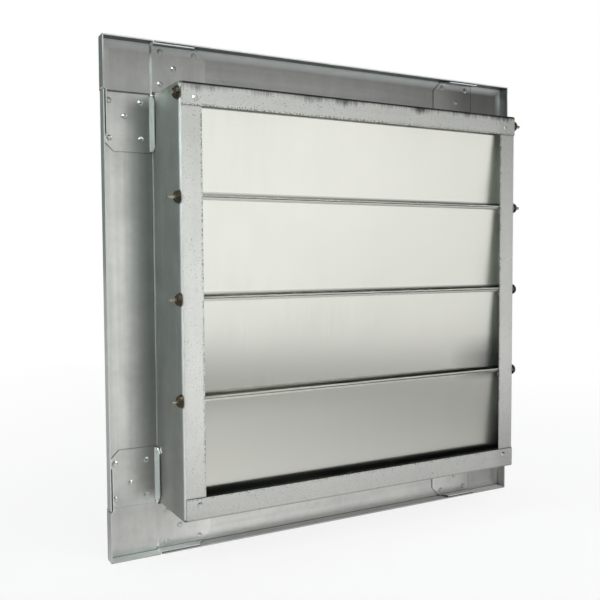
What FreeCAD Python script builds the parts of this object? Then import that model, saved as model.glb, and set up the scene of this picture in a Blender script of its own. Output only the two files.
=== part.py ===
import FreeCAD, Part
import math
import os

# Gravity shutter grille. Millimetres. +Z is up, +Y points to the wall the flange is fixed to,
# -Y is the open front. The origin is the middle of the opening in the back plane of the flange.

# Box and flange
BOX = 400.0                 # outside width and height of the box
DEPTH = 80.0                # back plane of the flange to the front lips
SHEET = 1.2                 # galvanised sheet
BEND = 1.0                  # inside radius of every fold in the sheet
FLANGE = 51.0               # width of the flange around the box
RIM = 13.5                  # height of the outer rim
LIP = 21.0                  # width of the front lips
BUTT_GAP = 0.1              # clearance where sheets butt or lie on each other
CORNER_RELIEF = 1.4         # cut back of the top and bottom rails at the box corners

# Corner brackets
TAB = 55.5                  # length of a tab past the box corner
TAB_CHAMFER = 12.0          # cut corner at a tab's outer end
JOGGLE = 2.0                # length of the step from corner square to tab
INNER_RIM = 9.5             # height of the small rim that lies on the box wall
INNER_RIM_CUT = 5.0         # chamfer at both ends of the small rim
INNER_RIM_INSET = 1.0       # the small rim stays this far inside both ends of the tab
INNER_RIM_LEAN = 2.0        # it leans on the wall: its root stands this far off
TAB_RIM_INSET = 12.0        # the rim on a tab ends this far before the tab does
TAB_RIM_SLANT = 4.0         # slope of that end over the height of the rim
TAB_RIM_LEAN = 1.0          # free edge of a tab's rim, leaned in from the rail's rim
RELIEF = 2.0                # relief square at the bracket's inner corner
MITRE_GAP = 0.4             # slit between the two rims at the outer corner
FOLD_SIDES = 3              # flats that draw one fold of a bracket or clip

# Clinched joints, pressed through two sheets from behind
CLINCH_R = 2.9              # button: radius at the foot, the shoulder and the top
CLINCH_SHOULDER_R = 2.4
CLINCH_TOP_R = 1.3
CLINCH_SHOULDER_H = 0.9     # height of the shoulder and of the top
CLINCH_H = 1.4
DISH_R = 2.1                # hollow behind it: radius at the mouth and at the bottom, depth
DISH_BOTTOM_R = 1.3
DISH_DEPTH = 0.9
CLINCH_SIDES = 8
CLINCH_INNER = 12.0         # inner row from the box wall, outer row from the rim
CLINCH_EDGE = 8.0
CLINCH_FIRST = 8.0          # first and last row from the box corner
CLINCH_LAST = 43.0
CLINCH_MIDDLE = 22.0        # middle clinch from the box corner and from the box wall
CLINCH_MIDDLE_OUT = 28.0
LIP_CLINCH = 14.5           # clinch at a front corner, from both box sides

# Blades and pivots
BLADES = 4
PIVOT_DROP = 10.0           # first pivot below the box top
PIVOT_FOOT = 18.8           # one pitch below the last pivot, to the box bottom
PIVOT_SET_BACK = 5.5        # pivots behind the front of the box
LEAN = 4.0                  # degrees a closed blade leans back
BLADE_SHEET = 0.6           # aluminium sheet
BLADE_SIDE_GAP = 3.8        # blade ends to the box walls
BLADE_LAP = 3.7             # a blade's lower edge hangs this far past the next pivot
BEAD_END = 13.0             # the rolled edge around the rod is this much shorter at both ends
BEAD_NOTCH = 7.0            # blade corners are cut away this far below the pivot
BEAD_SEAM = 56.0            # degrees left open where the rolled edge meets the sheet
HEM = 7.0                   # folded safe edge at the bottom of a blade
HEM_GAP = 0.1
ROD_R = 1.6
GRIP_FIT = 0.02             # rod in blade and push nuts, pin in clip and washer
RUN_FIT = 0.06              # rod in its bushings
ROD_OUT_LEFT = (7.2, 11.2, 10.8, 9.8)    # rods reach past the left wall, top to bottom
ROD_OUT_RIGHT = (10.4, 10.2, 4.7, 4.6)   # and past the right wall

# Bushings and push nuts
TURNED_SIDES = 12           # sides that draw the small round pieces and their holes
NUT_SIDES = 14              # and the push nuts
BUSHING_R = 2.15
BUSHING_FIT = 0.03
BUSHING_FLANGE_R = 3.8
BUSHING_FLANGE = 1.0
BUSHING_INSIDE = 1.0        # reaches past the inner face of the wall
NUT_R = 6.5                 # rim, shoulder and crown: radius and height off the rim
NUT_SHOULDER_R = 5.2
NUT_SHOULDER_H = 3.3
NUT_CROWN_R = 3.6
NUT_H = 4.4
NUT_DISH = 0.6              # the gripping edge lies this far below the crown
NUT_SHEET = 0.7
NUT_SLOTS = 3
NUT_SLOT_WIDTH = 0.6
NUT_GAP = 0.2               # push nut off the wall

# Tie bar, clips and pins
BAR_WIDTH = 12.0
BAR_SHEET = 2.0
BAR_CORNER = 2.0
BAR_SIDE_GAP = 0.3          # bar to clip, and bar to washer
BAR_FOOT_GAP = 0.35         # foot of the bar above the bottom wall when closed
PIN_Y = 18.5                # pin behind the pivot plane of an upright blade
PIN_DROP = 8.5              # pin below the blade's lower edge
PIN_R = 2.0
PIN_FIT = 0.05
PIN_HEAD_R = 3.3
PIN_HEAD = 1.0
PIN_END = 1.0               # pin past its washer
CLIP_SHEET = 0.8
CLIP_BEND = 0.5
CLIP_FIT = 0.05
CLIP_WIDTH = 15.0
CLIP_FRONT = 3.2            # height of the hook in front of the blade
CLIP_BACK = 12.0            # height of the leg behind the blade
CLIP_EYE_R = 4.6
CLIP_ARM_TOP = 5.0          # width of the clip's arm where it leaves the blade
WASHER_R = 4.2
WASHER = 0.7

# Derived positions
HALF = BOX / 2
OUTER = HALF + FLANGE
PITCH = (BOX - PIVOT_DROP - PIVOT_FOOT) / BLADES
BLADE_LENGTH = BOX - 2 * (SHEET + BLADE_SIDE_GAP)
BLADE_CHORD = PITCH + BLADE_LAP
BEAD_LENGTH = BLADE_LENGTH - 2 * BEAD_END
PIN_Z = BLADE_CHORD + PIN_DROP
PIVOT_Y = -(DEPTH - PIVOT_SET_BACK)
PIVOT_Z = [HALF - PIVOT_DROP - PITCH * i for i in range(BLADES)]
BEAD_IN_R = ROD_R + GRIP_FIT
BEAD_OUT_R = BEAD_IN_R + BLADE_SHEET
BLADE_BACK = BEAD_OUT_R + HEM_GAP + BLADE_SHEET
X_AXIS = FreeCAD.Vector(1, 0, 0)
Y_AXIS = FreeCAD.Vector(0, 1, 0)
Z_AXIS = FreeCAD.Vector(0, 0, 1)
ORIGIN = FreeCAD.Vector(0, 0, 0)


def vec(x, y, z):
    return FreeCAD.Vector(x, y, z)


def block(x0, x1, y0, y1, z0, z1):
    return Part.makeBox(x1 - x0, y1 - y0, z1 - z0, vec(x0, y0, z0))


def turned(shape, degrees, axis, centre=ORIGIN):
    copy = shape.copy()
    copy.rotate(centre, axis, degrees)
    return copy


def moved(shape, x, y, z):
    copy = shape.copy()
    copy.translate(vec(x, y, z))
    return copy


def fused(shapes):
    return shapes[0].fuse(shapes[1:]).removeSplitter()


def flat(points):
    return Part.Face(Part.makePolygon(points + points[:1]))


def plate(points, thickness):
    """Flat plate: outline of corner points, thickness as a vector."""
    return flat(points).extrude(thickness)


def stump(stations, sides=TURNED_SIDES):
    """Many-sided solid about the X axis through stations (x, radius)."""
    angles = [2 * math.pi * k / sides for k in range(sides)]
    rings = [[vec(x, r * math.cos(a), r * math.sin(a)) for a in angles] for x, r in stations]
    faces = [flat(rings[0]), flat(rings[-1])]
    for low, high in zip(rings, rings[1:]):
        for k in range(sides):
            faces.append(flat([low[k - 1], low[k], high[k], high[k - 1]]))
    solid = Part.Solid(Part.Shell(faces))
    if solid.Volume < 0:
        solid.reverse()
    return solid


def disc(x0, x1, radius, sides=TURNED_SIDES):
    return stump([(x0, radius), (x1, radius)], sides)


def around(radius, sides=TURNED_SIDES):
    """Corner radius of a many-sided hole whose flats clear a round of that radius."""
    return radius / math.cos(math.pi / sides)


def left_normal(direction):
    return vec(-direction.y, direction.x, 0)


def strip_side(line, offset, radius, flats):
    """Edges of one face of a folded strip: its middle line set off to the left."""
    edges = []
    last = line[0] + left_normal((line[1] - line[0]).normalize()) * offset
    for before, here, after in zip(line, line[1:], line[2:]):
        ahead = (here - before).normalize()
        onward = (after - here).normalize()
        turn = math.atan2(ahead.cross(onward).z, ahead.dot(onward))
        way = math.copysign(1, turn)
        start = here - ahead * radius * math.tan(abs(turn) / 2)
        centre = start + left_normal(ahead) * radius * way
        arm = (start - centre) * (1 - way * offset / radius)
        steps = flats or 2
        bend = [centre + FreeCAD.Rotation(Z_AXIS, math.degrees(turn) * k / steps).multVec(arm)
                for k in range(steps + 1)]
        edges.append(Part.makeLine(last, bend[0]))
        if flats:
            edges += [Part.makeLine(a, b) for a, b in zip(bend, bend[1:])]
        else:
            edges.append(Part.Arc(*bend).toShape())
        last = bend[-1]
    end = line[-1] + left_normal((line[-1] - line[-2]).normalize()) * offset
    return edges + [Part.makeLine(last, end)]


def strip_face(points, thickness, inside_radius, flats=0):
    """Section of a folded strip whose middle line runs through points (x, y).
    Each fold is a true arc, or as many flats as asked for."""
    line = [vec(x, y, 0) for x, y in points]
    half = thickness / 2
    left = strip_side(line, half, inside_radius + half, flats)
    right = strip_side(line, -half, inside_radius + half, flats)
    first = Part.makeLine(left[0].Vertexes[0].Point, right[0].Vertexes[0].Point)
    last = Part.makeLine(left[-1].Vertexes[-1].Point, right[-1].Vertexes[-1].Point)
    return Part.Face(Part.Wire(Part.__sortEdges__(left + right + [first, last])))


def folded(points, thickness, inside_radius, z0, z1, flats=0):
    """Folded strip along Z between two heights."""
    face = strip_face(points, thickness, inside_radius, flats)
    return moved(face, 0, 0, z0).extrude(vec(0, 0, z1 - z0))


def on_side(shape, side):
    """Move a shape made for the left side of the frame to another side."""
    angle = {"left": 0, "top": 90, "right": 180, "bottom": 270}[side]
    return turned(shape, angle, Y_AXIS)


def clinch_stump(stations, x, y, z):
    """Many-sided stump standing forward from a sheet face at y; stations (height, radius)."""
    return moved(turned(stump(stations, CLINCH_SIDES), -90, Z_AXIS), x, y, z)


def button(x, y, z):
    """Domed clinch button on the front face of the upper sheet, at y."""
    dome = [(0, CLINCH_R), (CLINCH_SHOULDER_H, CLINCH_SHOULDER_R), (CLINCH_H, CLINCH_TOP_R)]
    return clinch_stump(dome, x, y, z)


def dish(x, y, z):
    """Hollow of a clinch in the back face of the lower sheet, at y."""
    return clinch_stump([(0, DISH_R), (DISH_DEPTH, DISH_BOTTOM_R)], x, y, z)


def tab_clinches(up):
    """Clinch centres (x, z) on the left flange, for the tab above (up = 1) or below."""
    outs = (CLINCH_INNER, FLANGE - CLINCH_EDGE)
    downs = (CLINCH_FIRST, CLINCH_LAST)
    marks = [(out, down) for out in outs for down in downs]
    marks.append((CLINCH_MIDDLE_OUT, CLINCH_MIDDLE))
    return [(-HALF - out, up * (HALF - down)) for out, down in marks]


def rail_section(depth):
    half = SHEET / 2
    return [(-OUTER + half, -RIM), (-OUTER + half, -half), (-HALF + half, -half),
            (-HALF + half, -depth + half), (-HALF + LIP, -depth + half)]


def dished(rail):
    """Press the clinches of both tabs into the back of a left rail's flange."""
    dishes = [dish(x, 0, z) for up in (1, -1) for x, z in tab_clinches(up)]
    return rail.cut(dishes)


def side_rail(side):
    """Left or right rail: full height, its lip lies behind the top and bottom lips."""
    depth = DEPTH - SHEET
    fold = SHEET + BEND
    rail = folded(rail_section(depth), SHEET, BEND, -HALF, HALF)
    corner = block(-HALF - 1, -HALF + LIP + 1, -DEPTH, -depth + fold, HALF - fold, HALF + 1)
    rail = rail.cut([corner, corner.mirror(ORIGIN, Z_AXIS)])
    way = 1 if side == "left" else -1
    hole = disc(-HALF - SHEET, -HALF + 2 * SHEET, BUSHING_R + BUSHING_FIT)
    rail = rail.cut([moved(hole, 0, PIVOT_Y, way * z) for z in PIVOT_Z])
    at = HALF - LIP_CLINCH
    rail = rail.cut([dish(-at, -depth + SHEET, up * at) for up in (1, -1)])
    return on_side(dished(rail), side)


def cross_rail(side):
    """Top or bottom rail, between the side walls, its lip covering the corners."""
    rail = folded(rail_section(DEPTH), SHEET, BEND, -HALF, HALF)
    end = block(-HALF - CORNER_RELIEF, -HALF + LIP + 1, -DEPTH - 1, 1,
                HALF - SHEET - BUTT_GAP, HALF + 1)
    rail = rail.cut([end, end.mirror(ORIGIN, Z_AXIS)])
    at = HALF - LIP_CLINCH
    rail = rail.fuse([button(-at, -DEPTH, up * at) for up in (1, -1)])
    return on_side(dished(rail).removeSplitter(), side)


def arm_section(shift):
    """Corner bracket section in X and Y; shift 1 moves it over the rail flange."""
    half = SHEET / 2
    rim = -OUTER + half + (SHEET + BUTT_GAP) * shift
    face = -half - SHEET * shift
    return [(rim + TAB_RIM_LEAN * shift, -RIM), (rim, face), (-HALF - 2 * BUTT_GAP, face)]


def inner_rim_root():
    """Middle of the sheet at the root of the small rim, in X on the left side."""
    return -HALF - BUTT_GAP - SHEET / 2 - INNER_RIM_LEAN


def tab_outline():
    """Tab of the left arm seen from the front, chamfered at its outer end."""
    end = HALF - TAB
    top = HALF + 2 * JOGGLE
    wide = OUTER + 1
    inner = inner_rim_root() - BEND
    corner = HALF + BUTT_GAP
    points = [(-HALF + 1, top), (-wide, top), (-wide, end + TAB_CHAMFER + 1),
              (-OUTER + TAB_CHAMFER, end), (inner, end), (inner, corner), (-HALF + 1, corner)]
    return plate([vec(x, -DEPTH, z) for x, z in points], vec(0, 2 * DEPTH, 0))


def tab_rim_cut(end):
    """What is cut from the outer rim of a tab whose end is at height end."""
    root = -2 * (SHEET + BEND)
    stop = end + TAB_RIM_INSET
    points = [(root, end - 1), (root, stop), (-RIM - 1, stop + TAB_RIM_SLANT), (-RIM - 1, end - 1)]
    return plate([vec(-OUTER - 1, y, z) for y, z in points], vec(1 + 3 * SHEET, 0, 0))


def inner_rim():
    """Small rim folded forward from a tab's inner edge onto the box wall."""
    x = inner_rim_root()
    root = -1.5 * SHEET
    end = root - INNER_RIM
    z0 = HALF - TAB + INNER_RIM_INSET
    z1 = HALF - INNER_RIM_INSET
    section = [(x - 3 * BEND - SHEET, root), (x, root), (x + INNER_RIM_LEAN, end)]
    rim = folded(section, SHEET, BEND, z0, z1, FOLD_SIDES)
    for z, way in ((z0, 1), (z1, -1)):
        points = [(end - 1, z - way), (end - 1, z + way * (INNER_RIM_CUT + 1)),
                  (end + INNER_RIM_CUT, z - way)]
        rim = rim.cut(plate([vec(-OUTER, y, zz) for y, zz in points], vec(OUTER, 0, 0)))
    return rim


def bracket_arm():
    """Vertical arm of the top left bracket: corner part, step and tab."""
    seam = HALF + 2 * BUTT_GAP
    end = HALF - TAB
    lower = strip_face(arm_section(1), SHEET, BEND, FOLD_SIDES)
    upper = strip_face(arm_section(0), SHEET, BEND, FOLD_SIDES)
    tab = moved(lower, 0, 0, end).extrude(vec(0, 0, seam - end))
    square = moved(upper, 0, 0, seam + JOGGLE).extrude(vec(0, 0, OUTER - seam - JOGGLE))
    step = Part.makeLoft([moved(lower.OuterWire, 0, 0, seam),
                          moved(upper.OuterWire, 0, 0, seam + JOGGLE)], True, True)
    tab = tab.common(tab_outline()).cut(tab_rim_cut(end))
    return fused([tab, step, square, inner_rim()])


def corner_bracket(side):
    """One corner bracket; made top left and turned to its corner."""
    arm = bracket_arm()
    whole = arm.fuse(arm.mirror(ORIGIN, vec(1, 0, 1)))
    relief = block(-HALF - RELIEF, -HALF - BUTT_GAP, -DEPTH, 1, HALF + BUTT_GAP, HALF + RELIEF)
    reach = 2 * (SHEET + BEND)
    slit = block(-MITRE_GAP / 2, MITRE_GAP / 2, -DEPTH, -SHEET - BEND, -reach, reach)
    slit = turned(slit, -45, Y_AXIS)
    whole = whole.cut([relief, moved(slit, -OUTER, 0, OUTER)])
    marks = tab_clinches(1)
    marks += [(-z, -x) for x, z in marks]
    whole = whole.fuse([button(x, -2 * SHEET, z) for x, z in marks])
    return on_side(whole.removeSplitter(), side)


def from_left(shape, side):
    """Pieces at the side walls are made at the left and turned over for the right."""
    if side == "left":
        return shape
    return turned(shape, 180, Z_AXIS, vec(0, PIVOT_Y, 0))


def bushing(side, z):
    """Flanged nylon bushing: flange outside the wall, body through it."""
    end = SHEET + BUSHING_INSIDE
    flange = disc(-BUSHING_FLANGE, 0, BUSHING_FLANGE_R)
    body = disc(0, end, BUSHING_R)
    bore = disc(-BUSHING_FLANGE - 1, end + 1, around(ROD_R + RUN_FIT))
    return from_left(moved(fused([flange, body]).cut(bore), -HALF, PIVOT_Y, z), side)


def push_nut(side, z):
    """Dished spring nut: rim towards the wall, crown gripping the rod end."""
    t = NUT_SHEET
    bore = around(ROD_R + GRIP_FIT, NUT_SIDES)
    outside = stump([(0, NUT_R), (-NUT_SHOULDER_H, NUT_SHOULDER_R), (-NUT_H, NUT_CROWN_R),
                     (-NUT_H + NUT_DISH, bore)], NUT_SIDES)
    inside = stump([(0, NUT_R - t), (-NUT_SHOULDER_H + t / 2, NUT_SHOULDER_R - t),
                    (-NUT_H + t, NUT_CROWN_R - t / 2), (-NUT_H + NUT_DISH + t, bore)], NUT_SIDES)
    nut = outside.cut(inside).cut(disc(-NUT_H - 1, 0, bore, NUT_SIDES))
    half = NUT_SLOT_WIDTH / 2
    slot = block(-NUT_H - 1, -NUT_H + 2 * t, -half, half, 0, NUT_CROWN_R - t)
    nut = nut.cut([turned(slot, 360 * k / NUT_SLOTS, X_AXIS) for k in range(NUT_SLOTS)])
    return from_left(moved(nut, -HALF - NUT_GAP, PIVOT_Y, z), side)


def pivot_rod(left_out, right_out, z):
    length = BOX + left_out + right_out
    return Part.makeCylinder(ROD_R, length, vec(-HALF - left_out, PIVOT_Y, z), X_AXIS)


def round_point(radius, degrees):
    angle = math.radians(degrees)
    return vec(0, radius * math.cos(angle), radius * math.sin(angle))


def blade_section():
    """Upright blade section in Y and Z about its pivot: rolled edge, sheet and folded hem."""
    front = BEAD_IN_R
    back = BEAD_OUT_R
    hem_front = back + HEM_GAP
    fold = (BLADE_BACK - front) / 2
    low = -BLADE_CHORD + fold
    last = 360 - BEAD_SEAM
    outer_roll = [round_point(back, a) for a in (0, last / 2, last)]
    inner_roll = [round_point(front, a) for a in (last, last / 2, 0)]
    hem_fold = [vec(0, front, low), vec(0, front + fold, low - fold), vec(0, BLADE_BACK, low)]
    hem = [hem_fold[-1], vec(0, BLADE_BACK, low + HEM), vec(0, hem_front, low + HEM),
           vec(0, hem_front, low), vec(0, back, low), outer_roll[0]]
    edges = [Part.Arc(*outer_roll).toShape(),
             Part.makeLine(outer_roll[-1], inner_roll[0]),
             Part.Arc(*inner_roll).toShape(),
             Part.makeLine(inner_roll[-1], hem_fold[0]),
             Part.Arc(*hem_fold).toShape()]
    edges += [Part.makeLine(a, b) for a, b in zip(hem, hem[1:])]
    return Part.Face(Part.Wire(edges))


def leaned(shape, z):
    """Lean an upright piece made about the origin and set it on its pivot."""
    return moved(turned(shape, LEAN, X_AXIS), 0, PIVOT_Y, z)


def blade(z):
    half = BLADE_LENGTH / 2
    sheet = moved(blade_section(), -half, 0, 0).extrude(vec(BLADE_LENGTH, 0, 0))
    tall = 2 * BEAD_OUT_R
    notch = block(BEAD_LENGTH / 2, half + 1, -tall, tall, -BEAD_NOTCH, tall)
    sheet = sheet.cut([notch, notch.mirror(ORIGIN, X_AXIS)])
    return leaned(sheet, z)


def clip_ear():
    """Side face of a clip in Y and Z, from the leg behind the blade to the eye at the pin."""
    back = BLADE_BACK + CLIP_FIT
    top = -BLADE_CHORD + CLIP_BACK
    reach = CLIP_EYE_R * math.sqrt(0.5)
    points = [(back, top), (back, -BLADE_CHORD), (PIN_Y - reach, -PIN_Z - reach),
              (PIN_Y + reach, -PIN_Z + reach), (back + CLIP_ARM_TOP, top)]
    arm = plate([vec(0, y, z) for y, z in points], vec(CLIP_SHEET, 0, 0))
    return arm.fuse(moved(disc(0, CLIP_SHEET, CLIP_EYE_R), 0, PIN_Y, -PIN_Z))


def tie_clip(z):
    """Spring clip hooked over a blade's lower edge, with an eye for the tie bar pin."""
    half = CLIP_SHEET / 2
    back = BLADE_BACK + CLIP_FIT
    front = BEAD_IN_R - CLIP_FIT
    low = -BLADE_CHORD - CLIP_FIT
    top = low + CLIP_BACK
    hook = [(front - half, low + CLIP_FRONT), (front - half, low - half),
            (back + half, low - half), (back + half, top)]
    section = strip_face(hook, CLIP_SHEET, CLIP_BEND, FOLD_SIDES)
    section = turned(turned(section, 90, X_AXIS), 90, Z_AXIS)
    width = CLIP_WIDTH - CLIP_SHEET - CLIP_BEND
    channel = moved(section, -CLIP_WIDTH, 0, 0).extrude(vec(width, 0, 0))
    leg = [(-CLIP_WIDTH, back + half), (half, back + half), (half, PIN_Y + 2 * CLIP_EYE_R)]
    leg = folded(leg, CLIP_SHEET, CLIP_BEND, -PIN_Z - 2 * CLIP_EYE_R, top, FOLD_SIDES)
    keep = clip_ear().fuse(block(-CLIP_WIDTH, CLIP_SHEET, back, back + CLIP_SHEET + CLIP_BEND,
                                 low + CLIP_BEND, top))
    hole = moved(disc(-CLIP_SHEET, 2 * CLIP_SHEET, around(PIN_R + GRIP_FIT)), 0, PIN_Y, -PIN_Z)
    return leaned(fused([channel, leg.common(keep)]).cut(hole), z)


def tie_pin(z):
    """Headed pin through clip, tie bar and washer."""
    end = -2 * BAR_SIDE_GAP - BAR_SHEET - WASHER - PIN_END
    shank = disc(end, CLIP_SHEET, PIN_R)
    head = disc(CLIP_SHEET, CLIP_SHEET + PIN_HEAD, PIN_HEAD_R)
    return leaned(moved(fused([shank, head]), 0, PIN_Y, -PIN_Z), z)


def pin_washer(z):
    x = -2 * BAR_SIDE_GAP - BAR_SHEET
    ring = disc(x - WASHER, x, WASHER_R).cut(disc(x - 2 * WASHER, x + 1, around(PIN_R + GRIP_FIT)))
    return leaned(moved(ring, 0, PIN_Y, -PIN_Z), z)


def pin_centre(z):
    """Where the pin of a closed blade stands in the frame."""
    return leaned(Part.Vertex(vec(0, PIN_Y, -PIN_Z)), z).Point


def tie_bar():
    """Upright bar that carries one hole per blade; its foot rests on the bottom wall."""
    centres = [pin_centre(z) for z in PIVOT_Z]
    top = centres[0]
    half = BAR_WIDTH / 2
    x1 = -BAR_SIDE_GAP
    x0 = x1 - BAR_SHEET
    foot = -HALF + SHEET + BAR_FOOT_GAP
    outline = [(-half, foot + BAR_CORNER), (-half + BAR_CORNER, foot), (half - BAR_CORNER, foot),
               (half, foot + BAR_CORNER), (half, top.z), (-half, top.z)]
    bar = plate([vec(x0, top.y + y, z) for y, z in outline], vec(BAR_SHEET, 0, 0))
    bar = fused([bar, moved(disc(x0, x1, half), 0, top.y, top.z)])
    hole = disc(x0 - 1, x1 + 1, around(PIN_R + PIN_FIT))
    return bar.cut([moved(hole, 0, c.y, c.z) for c in centres])


def all_parts():
    parts = {}
    for side in ("left", "right"):
        parts["frame_rail_" + side] = side_rail(side)
    for side in ("top", "bottom"):
        parts["frame_rail_" + side] = cross_rail(side)
    corners = {"top_left": "left", "top_right": "top", "bottom_right": "right",
               "bottom_left": "bottom"}
    for name, side in corners.items():
        parts["corner_bracket_" + name] = corner_bracket(side)
    parts["tie_bar"] = tie_bar()
    for i, z in enumerate(PIVOT_Z):
        n = str(i + 1)
        parts["blade_" + n] = blade(z)
        parts["pivot_rod_" + n] = pivot_rod(ROD_OUT_LEFT[i], ROD_OUT_RIGHT[i], z)
        for side in ("left", "right"):
            parts["bushing_" + side + "_" + n] = bushing(side, z)
            parts["push_nut_" + side + "_" + n] = push_nut(side, z)
        parts["tie_clip_" + n] = tie_clip(z)
        parts["tie_pin_" + n] = tie_pin(z)
        parts["pin_washer_" + n] = pin_washer(z)
    return parts


os.makedirs("parts", exist_ok=True)
for node, shape in all_parts().items():
    shape.exportStep("parts/" + node + ".step")
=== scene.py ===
import bpy
import math
from mathutils import Matrix, Vector


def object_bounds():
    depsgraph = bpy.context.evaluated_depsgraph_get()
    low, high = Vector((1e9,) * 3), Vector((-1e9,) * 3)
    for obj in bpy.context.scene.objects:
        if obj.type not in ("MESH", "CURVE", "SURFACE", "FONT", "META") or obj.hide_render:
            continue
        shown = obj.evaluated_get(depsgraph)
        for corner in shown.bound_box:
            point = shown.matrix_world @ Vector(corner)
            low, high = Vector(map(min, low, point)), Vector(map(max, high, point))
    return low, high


# Gravity shutter grille. Metres, +Z up, the open front faces -Y.
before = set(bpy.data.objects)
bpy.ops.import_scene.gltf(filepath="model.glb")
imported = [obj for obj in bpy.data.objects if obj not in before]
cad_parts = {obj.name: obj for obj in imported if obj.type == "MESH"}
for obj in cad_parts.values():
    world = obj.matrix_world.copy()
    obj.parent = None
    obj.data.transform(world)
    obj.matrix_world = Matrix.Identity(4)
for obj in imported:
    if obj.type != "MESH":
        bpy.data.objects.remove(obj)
cad_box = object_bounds()

MM = 0.001
SIDES = ("left", "right")
ENDS = ("top", "bottom")
CORNERS = ("top_left", "top_right", "bottom_left", "bottom_right")
NUMBERS = ("1", "2", "3", "4")

# Camera, fitted to the corners of the box, flange and opening in the photograph
CAMERA_AT = Vector((-0.4401, -0.7420, 0.0417))
CAMERA_YAW = math.radians(28.78)
CAMERA_PITCH = math.radians(2.93)
CAMERA_ROLL = math.radians(-0.31)
CAMERA_LENS = 46.49
CAMERA_SENSOR = 36.0
CAMERA_SHIFT = (-0.0049, -0.0042)

# The one lamp, above the front; metal does not mirror it
KEY_AT = (0.3, -1.3, 1.8)
KEY_AIM = (0.0, 0.0, 0.0)
KEY_SIZE = 1.2
KEY_POWER = 12.0

# Places on the frame that the finish, and the light and shade painted on it, follow
BOX_HALF = 0.200            # outside of the box walls, from the middle
LIP_EDGE = 0.179            # inner edge of the front lips, from the middle
LIP_FACE = -0.0790          # back of the front lips, in Y
EDGE_BAND = (-0.0782, -0.0748)     # the walls round over towards the lips here, in Y
EDGE_DROP = 0.9 * MM        # and fall away this much
FIRST_PIVOT = 0.190         # height of the top blade's pivot
PITCH = 0.0928              # from one pivot to the next

# What the metal sees of the room in front, by the slope of the direction: (slope, level)
ROOM_SLOPE = ((-1.0, 0.55), (-0.48, 0.55), (-0.40, 0.55), (-0.36, 0.40), (-0.32, 0.36),
              (-0.29, 0.50), (-0.263, 0.80), (-0.235, 0.87), (-0.17, 0.90), (-0.05, 0.94),
              (0.08, 0.93), (0.16, 1.04), (0.215, 0.92), (0.25, 0.23), (0.31, 0.10),
              (0.45, 0.08), (1.0, 0.06))
# By its sideways part: (to the right, share)
ROOM_ACROSS = ((-1.0, 3.20), (-0.92, 2.20), (-0.84, 0.20), (-0.24, 0.08), (0.00, 0.70),
               (0.14, 1.08), (0.52, 1.05), (0.66, 0.80), (0.75, 0.72), (1.0, 0.65))
# And of the room behind, by the sideways part: (to the right, level)
ROOM_BACK = ((-1.0, 0.65), (-0.60, 0.60), (-0.46, 0.16), (-0.18, 0.12), (0.06, 0.9), (1.0, 0.9))
ROOM_TILT = 0.12            # the bright part in front ends this much lower far to the right
FAR_RIGHT = (0.52, 0.68)    # where that begins and is full
FRONT_TO_BACK = (-0.10, 0.10)      # the front gives way to the back over this part of Y
LEAST_AHEAD = 0.05          # keeps the slope finite for directions that do not look ahead
BACK_TOP = (0.25, 0.50)     # the room behind gets dimmer over this part of Z
BACK_TOP_LEVEL = 0.40
DIM_LEVEL = 0.05            # share that a dark patch leaves, low in front and far to the right
DIM_ACROSS = (0.52, 0.66)   # to the right it begins and is full here
DIM_LEFT = 0.12             # its strength further left
DIM_ABOVE = (-0.325, -0.30)        # slopes over which it fades above
DIM_BELOW = (-0.37, -0.33)         # and below
GLINT_WAY = (-0.60, -0.47, 0.65)   # a small bright lamp that only domes and edges mirror
GLINT_LEVEL = 15.0
GLINT_RIM = (0.950, 0.982)  # cosine of the angle to it where it begins and is full
PLAIN_LIGHT = 0.55          # level of the room on everything that is not metal
COOL_TINT = (0.86, 1.0, 0.98)      # colour of the room on the left
COOL_ACROSS = (-0.10, 0.15)

# Floor
FLOOR_FRONT = -0.50         # the floor ends here, in front of the object
FLOOR_REACH = 6.0
FLOOR_COLOUR = 0.62         # its colour as other surfaces see it
FLOOR_WHITE = 0.97          # and as the camera sees it
FLOOR_NEAR_SHARE = 0.84     # share of plain white near the object, for the camera
FLOOR_FAR = (0.4, 1.6)      # which grows to all of it over this distance
# Painted light: in the metal the floor glows at this uneven level, a product of fades: (axis,
# from, to, level before, after)
FLOOR_LEVELS = (("X", -0.20, 0.42, 0.72, 0.40), ("Y", -0.17, -0.06, 1.0, 1.35),
                ("Y", -0.02, 0.08, 1.0, 0.65), ("X", -0.24, -0.17, 0.75, 1.0),
                ("Y", -0.10, -0.40, 1.0, 0.84))

# Textures of the galvanised sheet: noise in waves per metre
CLOUDS = 11.0
PATCHES = 45.0
PITS = 760.0
PIT_GROUPS = 90.0
CRUMBS = 640.0
SPANGLE = 6.0 * MM          # size of a zinc crystal
DRIPS = (620.0, 60.0, 45.0)
SMUDGES = (26.0, 10.0, 10.0)
HAIRLINES = (900.0, 900.0, 14.0)
SCRATCHES = ((0.72, 0.745), (-0.35, 0.76))     # turn about Y, and how rare they are
STAIN_BAND = (-0.0755, -0.0775)    # the stain reaches this far over the front fold, in Y

# Colours of the galvanised sheet: its dirt, stains, scratches and dust, and the shade and light
# painted on it
ZINC_TINT = (1.0, 1.0, 0.955)
# Dark colour of the dirt specks, and of the shade painted on the flanges, lips and left wall
DIRT_AND_SHADE = (0.10, 0.10, 0.10)
# Colour of the stain from the top fold, and of the shade painted on the left flange beside the
# wall
STAIN_AND_SHADE = (0.085, 0.085, 0.080)
EDGE_DIRT = (0.075, 0.075, 0.055)
FOLD_SHADE = (0.10, 0.10, 0.09)
BASE_SHADE = (0.080, 0.070, 0.060)
SEAM_SHADE = (0.045, 0.044, 0.040)
RECESS = (0.020, 0.019, 0.017)
UNDERSIDE = (0.03, 0.03, 0.03)
SCRATCH = (0.95, 0.95, 0.95)
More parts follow.
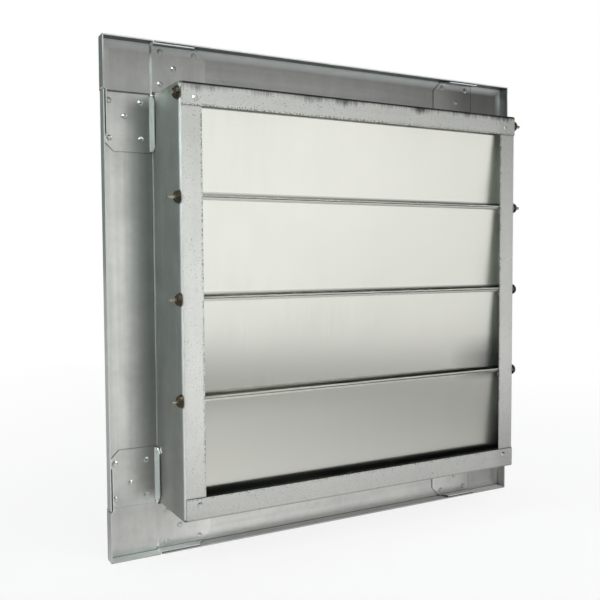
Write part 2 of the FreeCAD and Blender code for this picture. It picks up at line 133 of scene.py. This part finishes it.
# Colour of dust, which also stands in for light on low faces that look up
DUST_AND_TOP_LIGHT = (0.86, 0.86, 0.86)
WHITE = (1.0, 1.0, 1.0)

# Reach of the shade painted in seams, recesses and the corners of the blades
SEAM_REACH = 2.2 * MM
RECESS_REACH = 22.0 * MM
BLADE_REACH = 8.0 * MM

# Places on the galvanised sheet that the photograph shows darker or lighter. Each is a product
# of fades: (quantity, where it is 0, where it is 1), or with the two levels given after that.
# Lengths are in metres from the middle, and faces are parts of the surface's own direction.
FACES_FRONT = ("face_y", -0.80, -0.95)
FACES_LEFT = ("face_x", -0.80, -0.95)
FACES_BACK = ("face_y", 0.3, 0.7)
NOT_BACK = ("face_y", 0.7, 0.3)
AT_FRONT = ("y", -0.0750, -0.0765)
HIGH = ("z", 0.185, 0.195)
LOW = ("z", -0.205, -0.215)
ON_LIP = (("y", LIP_FACE + 4.0 * MM, LIP_FACE + 2.5 * MM), NOT_BACK)
PLACES = {
    "lip": ON_LIP,
    "inner_edge": ON_LIP + (("out", LIP_EDGE + 2.5 * MM, LIP_EDGE),),
    "ragged_edge": ON_LIP + (("out", LIP_EDGE + 2.4 * MM, LIP_EDGE + 0.4 * MM),
                             ("z", -0.18, -0.12, 0.1, 1.0)),
    "right_lip": ON_LIP + (("x", 0.170, 0.182),),
    "low_lip": ON_LIP + (("z", -0.10, -0.19),),
    "behind_lip": (FACES_BACK, ("out", 0.1996, 0.1990), ("y", -0.072, -0.074),
                   ("z", -0.19, 0.19, 0.95, 0.0)),
    "inside_front": (("outward", -0.05, -0.15), ("out", 0.2015, 0.2005), ("y", -0.048, -0.062),
                     ("z", -0.17, 0.19, 1.0, 0.1)),
    "top_fold": (("z", 0.1970, 0.1984), ("y", -0.074, -0.076), ("wide", 0.1985, 0.1970)),
    "side_fold": (("face_side", 0.15, 0.35), ("face_side", 0.98, 0.90), AT_FRONT,
                  ("out", 0.195, 0.197)),
    "low_fold": (("z", -0.1975, -0.1990), AT_FRONT),
    # dust, which also stands in for light, on the low faces that look up
    "dust_and_top_light": (("face_z", 0.30, 0.75), LOW),
    "underside": (HIGH, ("face_z", -0.85, -0.97)),
    "rim_fold": (HIGH, ("face_z", -0.25, -0.50), ("face_z", -0.97, -0.85)),
    "beside_rim": (FACES_FRONT, ("side", 0.2405, 0.2470), ("z", 0.22, 0.24, 0.35, 1.0)),
    "low_rim_fold": (("face_y", -0.96, -0.80), ("face_y", -0.15, -0.35),
                     ("side", 0.2460, 0.2466), ("z", -0.225, -0.235)),
    "bracket_rim": (("face_side", 0.80, 0.95), ("wide", 0.2003, 0.2006),
                    ("wide", 0.2055, 0.2045)),
    "beside_wall": (FACES_FRONT, ("x", -0.232, -0.206), ("x", -0.196, -0.198),
                    ("y", -0.03, -0.02), ("tall", 0.200, 0.186)),
    "low_left": (FACES_FRONT, ("z", -0.180, -0.206), ("x", -0.150, -0.200)),
    "low_right": (FACES_FRONT, LOW, ("x", 0.172, 0.206)),
    "low_wall": (FACES_LEFT, ("z", -0.06, -0.20)),
    "front_wall": (FACES_LEFT, ("y", -0.030, -0.055)),
    "upper_flange": (("z", 0.199, 0.201),),
    "recess": (("side", 0.222, 0.238, 1.0, 0.2), NOT_BACK),
}
# Painted shade on the upper flange, darker to the right: (from, to, level before, after), added
# up
TO_RIGHT = ((0.02, 0.15, 0.42, 0.60), (0.155, 0.190, 0.0, 0.40))
# Places in a slight shade, and how much of it, added up
SHADED = (("low_left", 0.26), ("low_right", 0.50), ("low_wall", 0.32), ("front_wall", 0.20),
          ("right_lip", 0.16))
FOLD_LIGHT = 0.9            # share of white on the folds and rims that catch the light

# Blades: painted shade, and dust that also stands for light on top faces; fades as above, by axis
# Colour of the shade painted in the blades' corners and above each rolled edge
BLADE_DARK = 0.05
# Colour of dust on faces that look up, which also stands for light on the rolled edges
BLADE_DUST_AND_TOP_LIGHT = (0.96, 0.93, 0.86)
SEAM_FULL = 4.0 * MM        # dark this far above the next blade's rolled edge
SEAM_END = 6.5 * MM
WHOLE_ROWS = 8.0            # keeps the count of rows above 0
UNDER_TOP = ("Z", 0.160, 0.172, 1.0, 0.15)
SEAM_ACROSS = ("X", -0.17, 0.10, 0.65, 1.0)
# Painted shade at the lower right of the third blade
LOW_CORNER = (("X", 0.115, 0.165, 0.0, 0.55), ("Z", -0.070, -0.045, 1.0, 0.0),
              ("Z", -0.098, -0.090, 0.0, 1.0))


def new_material(name):
    material = bpy.data.materials.new(name)
    material.use_nodes = True
    tree = material.node_tree
    tree.nodes.clear()
    output = tree.nodes.new("ShaderNodeOutputMaterial")
    shader = tree.nodes.new("ShaderNodeBsdfPrincipled")
    tree.links.new(shader.outputs["BSDF"], output.inputs["Surface"])
    return material, tree, shader


def add(tree, kind, **inputs):
    """Add a node and set its inputs; names use _ for a space."""
    made = tree.nodes.new(kind)
    for key, value in inputs.items():
        made.inputs[key.replace("_", " ")].default_value = value
    return made


def place(tree, scale=(1.0, 1.0, 1.0), turn=(0.0, 0.0, 0.0)):
    """Object coordinates, turned and stretched by scale."""
    coords = tree.nodes.new("ShaderNodeTexCoord")
    mapping = add(tree, "ShaderNodeMapping", Scale=scale, Rotation=turn)
    tree.links.new(coords.outputs["Object"], mapping.inputs["Vector"])
    return mapping.outputs["Vector"]


def axes(tree, vector):
    split = tree.nodes.new("ShaderNodeSeparateXYZ")
    tree.links.new(vector, split.inputs["Vector"])
    return split.outputs


def facing(tree):
    """Direction the surface faces, in the object's own axes."""
    coords = tree.nodes.new("ShaderNodeTexCoord")
    return axes(tree, coords.outputs["Normal"])


def openness(tree, reach):
    """0 in tight corners, 1 in the open."""
    made = add(tree, "ShaderNodeAmbientOcclusion", Distance=reach)
    made.samples = 8
    return made.outputs["AO"]


def noise(tree, vector, scale=1.0, detail=3.0, rough=0.55):
    made = add(tree, "ShaderNodeTexNoise", Scale=scale, Detail=detail, Roughness=rough)
    tree.links.new(vector, made.inputs["Vector"])
    return made.outputs["Fac"]


def crystals(tree, vector, size):
    """One random value per zinc crystal."""
    cells = add(tree, "ShaderNodeTexVoronoi", Scale=1.0 / size)
    cells.feature = "F1"
    tree.links.new(vector, cells.inputs["Vector"])
    split = tree.nodes.new("ShaderNodeSeparateColor")
    tree.links.new(cells.outputs["Color"], split.inputs["Color"])
    return split.outputs["Red"]


def ramp(tree, value, low, high, at=(0.0, 1.0)):
    """Map a value between two stops to the levels low and high."""
    made = tree.nodes.new("ShaderNodeMapRange")
    made.clamp = True
    made.inputs["From Min"].default_value = at[0]
    made.inputs["From Max"].default_value = at[1]
    made.inputs["To Min"].default_value = low
    made.inputs["To Max"].default_value = high
    tree.links.new(value, made.inputs["Value"])
    return made.outputs["Result"]


def fade(tree, value, start, end, before=0.0, after=1.0):
    """One level up to start and another from end on; start may be the larger."""
    if start > end:
        return ramp(tree, value, after, before, (end, start))
    return ramp(tree, value, before, after, (start, end))


def fades(tree, values, limits):
    """Product of fades, each given as (key of its value, start, end and levels)."""
    return product(tree, *(fade(tree, values[key], *numbers) for key, *numbers in limits))


def profile(tree, value, stops):
    """Level that follows a value through stops (value from -1 to 1, level)."""
    made = tree.nodes.new("ShaderNodeValToRGB")
    tree.links.new(ramp(tree, value, 0.0, 1.0, (-1.0, 1.0)), made.inputs["Fac"])
    marks = made.color_ramp.elements
    while len(marks) < len(stops):
        marks.new(1.0)
    for mark, (at, level) in zip(marks, stops):
        mark.position = (at + 1.0) / 2
        mark.color = grey(level) + (1.0,)
    return made.outputs["Color"]


def maths(tree, operation, *values):
    """Combine numbers or sockets one after the other."""
    result = values[0]
    for value in values[1:] or (0.0,):
        made = tree.nodes.new("ShaderNodeMath")
        made.operation = operation
        for socket, part in ((made.inputs[0], result), (made.inputs[1], value)):
            if isinstance(part, (int, float)):
                socket.default_value = part
            else:
                tree.links.new(part, socket)
        result = made.outputs["Value"]
    return result


def product(tree, *values):
    return maths(tree, "MULTIPLY", *values) if len(values) > 1 else values[0]


def total(tree, *values):
    return maths(tree, "ADD", *values)


def highest(tree, *values):
    return maths(tree, "MAXIMUM", *values)


def blend(tree, factor, first, second, kind="RGBA"):
    """Mix two colours, or two numbers with kind FLOAT."""
    made = tree.nodes.new("ShaderNodeMix")
    made.data_type = kind
    for key, value in (("Factor", factor), ("A", first), ("B", second)):
        socket = [s for s in made.inputs if s.name == key and s.enabled][0]
        if isinstance(value, (int, float)):
            socket.default_value = value
        elif isinstance(value, tuple):
            socket.default_value = value + (1.0,)
        else:
            tree.links.new(value, socket)
    return [s for s in made.outputs if s.enabled][0]


def bump(tree, shader, height, strength, distance):
    """Give the shader a bump, on top of one that it has already."""
    made = add(tree, "ShaderNodeBump", Strength=strength, Distance=distance)
    tree.links.new(height, made.inputs["Height"])
    if shader.inputs["Normal"].is_linked:
        tree.links.new(shader.inputs["Normal"].links[0].from_socket, made.inputs["Normal"])
    tree.links.new(made.outputs["Normal"], shader.inputs["Normal"])


def grey(level, tint=(1.0, 1.0, 1.0)):
    return tuple(level * t for t in tint)


def zinc_tone(tree, streak):
    """0 to 1: spangle, clouds and rolling streaks of galvanised sheet."""
    flat = place(tree)
    cloud = ramp(tree, noise(tree, flat, CLOUDS, 4.0), -0.28, 0.28, (0.3, 0.7))
    patch = ramp(tree, noise(tree, flat, PATCHES), -0.16, 0.16, (0.3, 0.7))
    lines = ramp(tree, noise(tree, place(tree, streak), 1.0, 5.0, 0.62), -0.34, 0.34, (0.3, 0.7))
    grain = ramp(tree, crystals(tree, flat, SPANGLE), -0.12, 0.12)
    return ramp(tree, total(tree, cloud, patch, lines, grain), 0.0, 1.0, (-0.7, 0.7))


def specks(tree, amount):
    """Small dark pits and dirt; amount from 0 to 1 lets more of them show."""
    fine = noise(tree, place(tree), PITS, 2.0, 0.6)
    sparse = noise(tree, place(tree), PIT_GROUPS, 2.0, 0.6)
    limit = ramp(tree, amount, 0.74, 0.44)
    dot = ramp(tree, maths(tree, "SUBTRACT", fine, limit), 0.0, 1.0, (0.0, 0.08))
    return product(tree, dot, ramp(tree, sparse, 0.35, 1.0, (0.40, 0.60)))


def scratches(tree):
    """Hairline scratches in two directions."""
    lines = []
    for turn, level in SCRATCHES:
        hair = noise(tree, place(tree, HAIRLINES, (0.0, turn, 0.0)), 1.0, 1.0, 0.5)
        lines.append(ramp(tree, hair, 0.0, 1.0, (level, level + 0.03)))
    return highest(tree, *lines)


def top_stain(tree, at):
    """Grey stain that runs down from the upper front fold, more of it to the right."""
    drips = noise(tree, place(tree, DRIPS), 1.0, 3.0, 0.6)
    smudge = noise(tree, place(tree, SMUDGES), 1.0, 3.0, 0.6)
    reach = total(tree, ramp(tree, drips, 0.0, 4.5 * MM, (0.35, 0.70)),
                  ramp(tree, smudge, 0.0, 5.0 * MM, (0.42, 0.66)))
    height = maths(tree, "SUBTRACT", at["z"],
                   maths(tree, "SUBTRACT", BOX_HALF - 1.5 * MM, reach))
    spread = total(tree, smudge, product(tree, at["x"], 0.8))
    return product(tree, ramp(tree, height, 0.0, 1.0, (-1.5 * MM, 4.0 * MM)),
                   ramp(tree, spread, 0.35, 0.9, (0.35, 0.65)), fade(tree, at["y"], *STAIN_BAND))


def quantities(tree, across):
    """What PLACES tells places by: where the surface is and which way it faces."""
    where = axes(tree, place(tree))
    faces = facing(tree)
    at = {"x": where["X"], "y": where["Y"], "z": where["Z"],
          "face_x": faces["X"], "face_y": faces["Y"], "face_z": faces["Z"],
          "wide": maths(tree, "ABSOLUTE", where["X"]),
          "tall": maths(tree, "ABSOLUTE", where["Z"]),
          "face_side": maths(tree, "ABSOLUTE", faces["X"]),
          "outward": product(tree, faces[across], where[across])}
    at["out"] = at["wide"] if across == "X" else at["tall"]
    at["side"] = highest(tree, at["wide"], at["tall"])
    return at


def galvanised(name, sheet, lip, streak, across):
    """Galvanised sheet: rolling streaks, pits, edge stains on the front lips, dust on low faces
    that look up which also stands for light on them, painted shade in corners, recesses and
    under things, and painted highlights on the folds and rims. sheet and lip are the levels of
    the sheet and of its front lips, the lips painted lighter for the light that they catch, and
    across is the axis along which the rail stands away from the middle."""
    material, tree, shader = new_material(name)
    at = quantities(tree, across)

    def spot(name):
        return fades(tree, at, PLACES[name])

    on_lip = spot("lip")
    tone = zinc_tone(tree, streak)
    plain = blend(tree, tone, grey(sheet * 0.80, ZINC_TINT), grey(sheet * 1.12, ZINC_TINT))
    # The front lips are painted lighter than the sheet behind them, for the light that they catch
    bright = blend(tree, tone, grey(lip * 0.92, ZINC_TINT), grey(lip * 1.05, ZINC_TINT))
    dirt = specks(tree, total(tree, ramp(tree, on_lip, 0.12, 0.42),
                              product(tree, spot("inner_edge"), 0.5)))
    crumbs = ramp(tree, noise(tree, place(tree), CRUMBS, 2.0), 0.0, 1.0, (0.51, 0.58))
    to_right = total(tree, *(fade(tree, at["x"], *numbers) for numbers in TO_RIGHT))
    shade = total(tree, *(product(tree, spot(name), share) for name, share in SHADED))
    lit = ["rim_fold", "beside_rim"] + (["side_fold", "bracket_rim"] if across == "X" else [])
    lit = product(tree, highest(tree, *(spot(name) for name in lit)), FOLD_LIGHT)
    dust_and_top_light = spot("dust_and_top_light")
    # Painted shade: dark in recesses, on the backs of the lips and on the inner walls near the
    # front
    closed = product(tree, ramp(tree, openness(tree, RECESS_REACH), 1.0, 0.0, (0.06, 0.40)),
                     spot("recess"))
    closed = highest(tree, closed, spot("behind_lip"), spot("inside_front"))

    colour = blend(tree, on_lip, plain, bright)
    for mask, share, coat in (
            (dirt, 0.75, DIRT_AND_SHADE),
            (scratches(tree), 0.45, SCRATCH),
            (top_stain(tree, at), 1.0, STAIN_AND_SHADE),
            # painted shade on the upper flange, darker to the right
            (product(tree, spot("upper_flange"), to_right), 0.76, DIRT_AND_SHADE),
            (shade, 1.0, DIRT_AND_SHADE),
            # painted shade, growing towards the bottom of the lips
            (spot("low_lip"), 0.20, DIRT_AND_SHADE),
            (product(tree, spot("ragged_edge"), crumbs), 0.65, EDGE_DIRT),
            # painted shade on the left flange beside the wall
            (spot("beside_wall"), 0.62, STAIN_AND_SHADE),
            (spot("low_fold"), 0.60, FOLD_SHADE),
            (lit, 1.0, WHITE),
            # dust, which also stands in for light, on low faces that look up
            (dust_and_top_light, 0.80, DUST_AND_TOP_LIGHT),
            # painted shade, near black, on the undersides high up and in the top front fold
            (highest(tree, spot("underside"), spot("top_fold")), 0.88, UNDERSIDE),
            (spot("low_rim_fold"), 0.80, BASE_SHADE),
            (ramp(tree, openness(tree, SEAM_REACH), 1.0, 0.0, (0.40, 0.86)), 0.72, SEAM_SHADE),
            (closed, 0.97, RECESS)):
        colour = blend(tree, product(tree, mask, share), colour, coat)
    tree.links.new(colour, shader.inputs["Base Color"])

    dull = highest(tree, closed, product(tree, dirt, 0.6), product(tree, dust_and_top_light, 0.75),
                   product(tree, lit, 0.75))
    tree.links.new(ramp(tree, dull, 0.88, 0.05), shader.inputs["Metallic"])
    roughness = total(tree, ramp(tree, tone, 0.34, 0.28), product(tree, on_lip, 0.05),
                      product(tree, dull, 0.3))
    tree.links.new(roughness, shader.inputs["Roughness"])
    shader.inputs["Specular IOR Level"].default_value = 0.15
    bump(tree, shader, total(tree, tone, product(tree, dirt, -0.6)), 0.15, 0.05 * MM)
    bump(tree, shader, ramp(tree, at["y"], 0.0, 1.0, EDGE_BAND), 1.0, EDGE_DROP)
    return material


def blade_shade(tree, closed):
    """Painted shade on a blade: its dark corners, darker just above the rolled edge of the next
    blade, at the lower right and hardly under the top rail."""
    where = axes(tree, place(tree))
    rows = maths(tree, "DIVIDE", maths(tree, "SUBTRACT", where["Z"], FIRST_PIVOT), PITCH)
    above = maths(tree, "FRACT", total(tree, rows, WHOLE_ROWS))
    seam = product(tree, ramp(tree, above, 1.0, 0.0, (SEAM_FULL / PITCH, SEAM_END / PITCH)),
                   fades(tree, where, (SEAM_ACROSS,)))
    closed = product(tree, closed, fades(tree, where, (UNDER_TOP,)))
    return highest(tree, closed, seam, fades(tree, where, LOW_CORNER))


def mill_aluminium(name, base, streak, rough, blade=False):
    """Bright rolled aluminium: upright rolling lines that spread a reflection sideways."""
    material, tree, shader = new_material(name)
    shader.inputs["Anisotropic"].default_value = 0.97
    sideways = add(tree, "ShaderNodeCombineXYZ", X=1.0)
    tree.links.new(sideways.outputs["Vector"], shader.inputs["Tangent"])
    lines = noise(tree, place(tree, streak), 1.0, 5.0, 0.65)
    cloud = noise(tree, place(tree), 7.0)
    tone = ramp(tree, total(tree, lines, cloud), 0.0, 1.0, (0.75, 1.25))
    colour = blend(tree, tone, tuple(0.975 * c for c in base), base)
    # Painted shade in the corners, and on a blade in the places that blade_shade adds
    closed = ramp(tree, openness(tree, BLADE_REACH), 1.0, 0.0, (0.10, 0.42))
    if blade:
        closed = blade_shade(tree, closed)
    colour = blend(tree, product(tree, closed, 0.90), colour, grey(BLADE_DARK))
    # Dust, which also stands for light, on faces that look up, the tops of the rolled edges most
    on_top = ramp(tree, facing(tree)["Z"], 0.0, 1.0, (0.10, 0.60))
    colour = blend(tree, product(tree, on_top, 0.9), colour, BLADE_DUST_AND_TOP_LIGHT)
    tree.links.new(ramp(tree, on_top, 1.0, 0.35), shader.inputs["Metallic"])
    tree.links.new(colour, shader.inputs["Base Color"])
    roughness = total(tree, ramp(tree, lines, rough - 0.02, rough + 0.02, (0.3, 0.7)),
                      ramp(tree, cloud, -0.02, 0.03, (0.3, 0.7)))
    tree.links.new(roughness, shader.inputs["Roughness"])
    return material


def zinc_plate(name, level=1.0):
    """Bright zinc with a yellowish film and dull patches; level darkens it."""
    material, tree, shader = new_material(name)
    shader.inputs["Metallic"].default_value = 1.0
    patches = noise(tree, place(tree), 220.0)
    rings = noise(tree, place(tree, (900.0, 60.0, 60.0)))
    colour = blend(tree, ramp(tree, patches, 0.0, 1.0, (0.35, 0.65)),
                   grey(level, (0.72, 0.71, 0.66)), grey(level, (0.50, 0.44, 0.33)))
    tree.links.new(colour, shader.inputs["Base Color"])
    tree.links.new(ramp(tree, rings, 0.22, 0.42, (0.3, 0.7)), shader.inputs["Roughness"])
    bump(tree, shader, rings, 0.15, 0.1 * MM)
    return material


def dark_spring_steel(name):
    """Phosphated spring steel: dark brown, with lighter brassy patches of wear that are also
    painted glints.
    """
    material, tree, shader = new_material(name)
    shader.inputs["Metallic"].default_value = 0.45
    patches = noise(tree, place(tree), 320.0, 4.0, 0.6)
    fine = noise(tree, place(tree), 1600.0, 2.0)
    colour = blend(tree, ramp(tree, patches, 0.0, 1.0, (0.42, 0.68)),
                   (0.020, 0.015, 0.012), (0.075, 0.042, 0.024))
    # Lighter brassy patches: wear, and also painted glints
    rubbed_and_glints = ramp(tree, fine, 0.0, 0.9, (0.60, 0.66))
    colour = blend(tree, rubbed_and_glints, colour, (0.50, 0.40, 0.20))
    tree.links.new(colour, shader.inputs["Base Color"])
    tree.links.new(ramp(tree, patches, 0.30, 0.55, (0.3, 0.7)), shader.inputs["Roughness"])
    bump(tree, shader, total(tree, fine, patches), 0.35, 0.15 * MM)
    return material


def nylon(name):
    """Unpigmented nylon: cream, a little cloudy and slightly translucent."""
    material, tree, shader = new_material(name)
    clouds = noise(tree, place(tree), 260.0)
    colour = blend(tree, ramp(tree, clouds, 0.0, 1.0, (0.3, 0.7)),
                   (0.74, 0.73, 0.67), (0.60, 0.58, 0.51))
    tree.links.new(colour, shader.inputs["Base Color"])
    tree.links.new(ramp(tree, clouds, 0.35, 0.5), shader.inputs["Roughness"])
    shader.inputs["Subsurface Weight"].default_value = 0.12
    shader.inputs["Subsurface Radius"].default_value = (1.0 * MM, 1.0 * MM, 0.8 * MM)
    bump(tree, shader, clouds, 0.1, 0.1 * MM)
    return material


def paint(node, material):
    """Give a CAD node its material."""
    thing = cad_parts[node]
    thing.data.materials.clear()
    thing.data.materials.append(material)


def dress():
    """Make the materials and give every CAD node its own; the streaks are waves per metre."""
    upright = galvanised("galvanised_upright", 0.80, 0.98, (140.0, 140.0, 3.0), "X")
    level = galvanised("galvanised_level", 0.70, 0.99, (3.0, 140.0, 140.0), "Z")
    bracket = galvanised("galvanised_bracket", 0.79, 0.95, (60.0, 60.0, 8.0), "X")
    blade = mill_aluminium("blade_aluminium", (0.95, 0.95, 0.88), (260.0, 260.0, 4.0), 0.22, True)
    bar = mill_aluminium("bar_aluminium", (0.80, 0.80, 0.78), (400.0, 400.0, 6.0), 0.30)
    rod = zinc_plate("zinc_rod")
    clip = zinc_plate("clip_steel", 0.35)
    dark = dark_spring_steel("dark_spring_steel")
    plastic = nylon("natural_nylon")
    for side in SIDES:
        paint("frame_rail_" + side, upright)
    for end in ENDS:
        paint("frame_rail_" + end, level)
    for corner in CORNERS:
        paint("corner_bracket_" + corner, bracket)
    paint("tie_bar", bar)
    for n in NUMBERS:
        paint("blade_" + n, blade)
        paint("pivot_rod_" + n, rod)
        paint("tie_clip_" + n, clip)
        paint("tie_pin_" + n, rod)
        paint("pin_washer_" + n, dark)
        for side in SIDES:
            paint("bushing_" + side + "_" + n, plastic)
            paint("push_nut_" + side + "_" + n, dark)


def room(tree, way):
    """Level of the room in a direction: in front bright at eye level and dim above and below."""
    ahead = highest(tree, product(tree, way["Y"], -1.0), LEAST_AHEAD)
    slope = maths(tree, "DIVIDE", way["Z"], ahead)
    tilted = total(tree, slope, ramp(tree, way["X"], 0.0, ROOM_TILT, FAR_RIGHT))
    front = product(tree, profile(tree, tilted, ROOM_SLOPE), profile(tree, way["X"], ROOM_ACROSS))
    dim = product(tree, ramp(tree, way["X"], DIM_LEFT, 1.0, DIM_ACROSS),
                  ramp(tree, slope, 1.0, 0.0, DIM_ABOVE), ramp(tree, slope, 0.0, 1.0, DIM_BELOW))
    front = product(tree, front, ramp(tree, dim, 1.0, DIM_LEVEL))
    near = total(tree, *(product(tree, way[axis], part) for axis, part in zip("XYZ", GLINT_WAY)))
    front = total(tree, front, ramp(tree, near, 0.0, GLINT_LEVEL, GLINT_RIM))
    behind = product(tree, profile(tree, way["X"], ROOM_BACK),
                     ramp(tree, way["Z"], 1.0, BACK_TOP_LEVEL, BACK_TOP))
    return blend(tree, ramp(tree, way["Y"], 0.0, 1.0, FRONT_TO_BACK), front, behind, "FLOAT")


def studio_world():
    """The room in the metal, a plain light on the rest and white for the camera."""
    world = bpy.data.worlds.new("studio")
    bpy.context.scene.world = world
    world.use_nodes = True
    tree = world.node_tree
    tree.nodes.clear()
    output = tree.nodes.new("ShaderNodeOutputWorld")
    coords = tree.nodes.new("ShaderNodeTexCoord")
    way = axes(tree, coords.outputs["Generated"])
    rays = tree.nodes.new("ShaderNodeLightPath")
    straight = highest(tree, rays.outputs["Is Camera Ray"], rays.outputs["Is Transmission Ray"])
    level = blend(tree, highest(tree, straight, rays.outputs["Is Glossy Ray"]), PLAIN_LIGHT,
                  highest(tree, room(tree, way), straight), "FLOAT")
    cool = product(tree, ramp(tree, way["X"], 1.0, 0.0, COOL_ACROSS),
                   maths(tree, "SUBTRACT", 1.0, straight))
    made = tree.nodes.new("ShaderNodeBackground")
    tree.links.new(blend(tree, cool, WHITE, COOL_TINT), made.inputs["Color"])
    tree.links.new(level, made.inputs["Strength"])
    tree.links.new(made.outputs["Background"], output.inputs["Surface"])


def floor_material():
    """Near white to the camera, still taking the object's shadow; in the metal it glows at set,
    uneven levels, as painted light.
    """
    material, tree, shader = new_material("floor")
    rays = tree.nodes.new("ShaderNodeLightPath")
    seen = highest(tree, rays.outputs["Is Camera Ray"], rays.outputs["Is Transmission Ray"])
    tree.links.new(blend(tree, seen, grey(FLOOR_COLOUR), grey(FLOOR_WHITE)),
                   shader.inputs["Base Color"])
    shader.inputs["Roughness"].default_value = 0.9
    shader.inputs["Specular IOR Level"].default_value = 0.1
    where = axes(tree, place(tree))
    distance = total(tree, where["Y"], maths(tree, "ABSOLUTE", where["X"]))
    far = ramp(tree, distance, FLOOR_NEAR_SHARE, 1.0, FLOOR_FAR)
    mirrored = rays.outputs["Is Glossy Ray"]
    glow = add(tree, "ShaderNodeEmission", Color=WHITE + (1.0,))
    tree.links.new(blend(tree, mirrored, 1.0, fades(tree, where, FLOOR_LEVELS), "FLOAT"),
                   glow.inputs["Strength"])
    mix = tree.nodes.new("ShaderNodeMixShader")
    output = [n for n in tree.nodes if n.type == "OUTPUT_MATERIAL"][0]
    tree.links.new(highest(tree, product(tree, seen, far), mirrored), mix.inputs["Fac"])
    tree.links.new(shader.outputs["BSDF"], mix.inputs[1])
    tree.links.new(glow.outputs["Emission"], mix.inputs[2])
    tree.links.new(mix.outputs["Shader"], output.inputs["Surface"])
    return material


def floor(level):
    """Pale floor that the object stands on."""
    corners = [(-FLOOR_REACH, FLOOR_FRONT, level), (FLOOR_REACH, FLOOR_FRONT, level),
               (FLOOR_REACH, 2 * FLOOR_REACH, level), (-FLOOR_REACH, 2 * FLOOR_REACH, level)]
    mesh = bpy.data.meshes.new("floor")
    mesh.from_pydata(corners, [], [(0, 1, 2, 3)])
    mesh.materials.append(floor_material())
    plane = bpy.data.objects.new("floor", mesh)
    bpy.context.scene.collection.objects.link(plane)


def key_lamp():
    data = bpy.data.lights.new("key", "AREA")
    data.shape = "RECTANGLE"
    data.size = KEY_SIZE
    data.size_y = KEY_SIZE
    data.energy = KEY_POWER
    lamp = bpy.data.objects.new("key", data)
    lamp.visible_glossy = False
    bpy.context.scene.collection.objects.link(lamp)
    lamp.rotation_euler = (Vector(KEY_AIM) - Vector(KEY_AT)).to_track_quat("-Z", "Y").to_euler()
    lamp.location = KEY_AT


def camera():
    data = bpy.data.cameras.new("camera")
    data.lens = CAMERA_LENS
    data.sensor_width = CAMERA_SENSOR
    data.shift_x, data.shift_y = CAMERA_SHIFT
    eye = bpy.data.objects.new("camera", data)
    bpy.context.scene.collection.objects.link(eye)
    turn = (Matrix.Rotation(-CAMERA_YAW, 4, "Z")
            @ Matrix.Rotation(math.radians(90.0) - CAMERA_PITCH, 4, "X")
            @ Matrix.Rotation(CAMERA_ROLL, 4, "Z"))
    eye.matrix_world = Matrix.Translation(CAMERA_AT) @ turn
    bpy.context.scene.camera = eye


dress()
studio_world()
floor(cad_box[0][2])
key_lamp()
camera()
bpy.context.scene.view_settings.view_transform = "Standard"
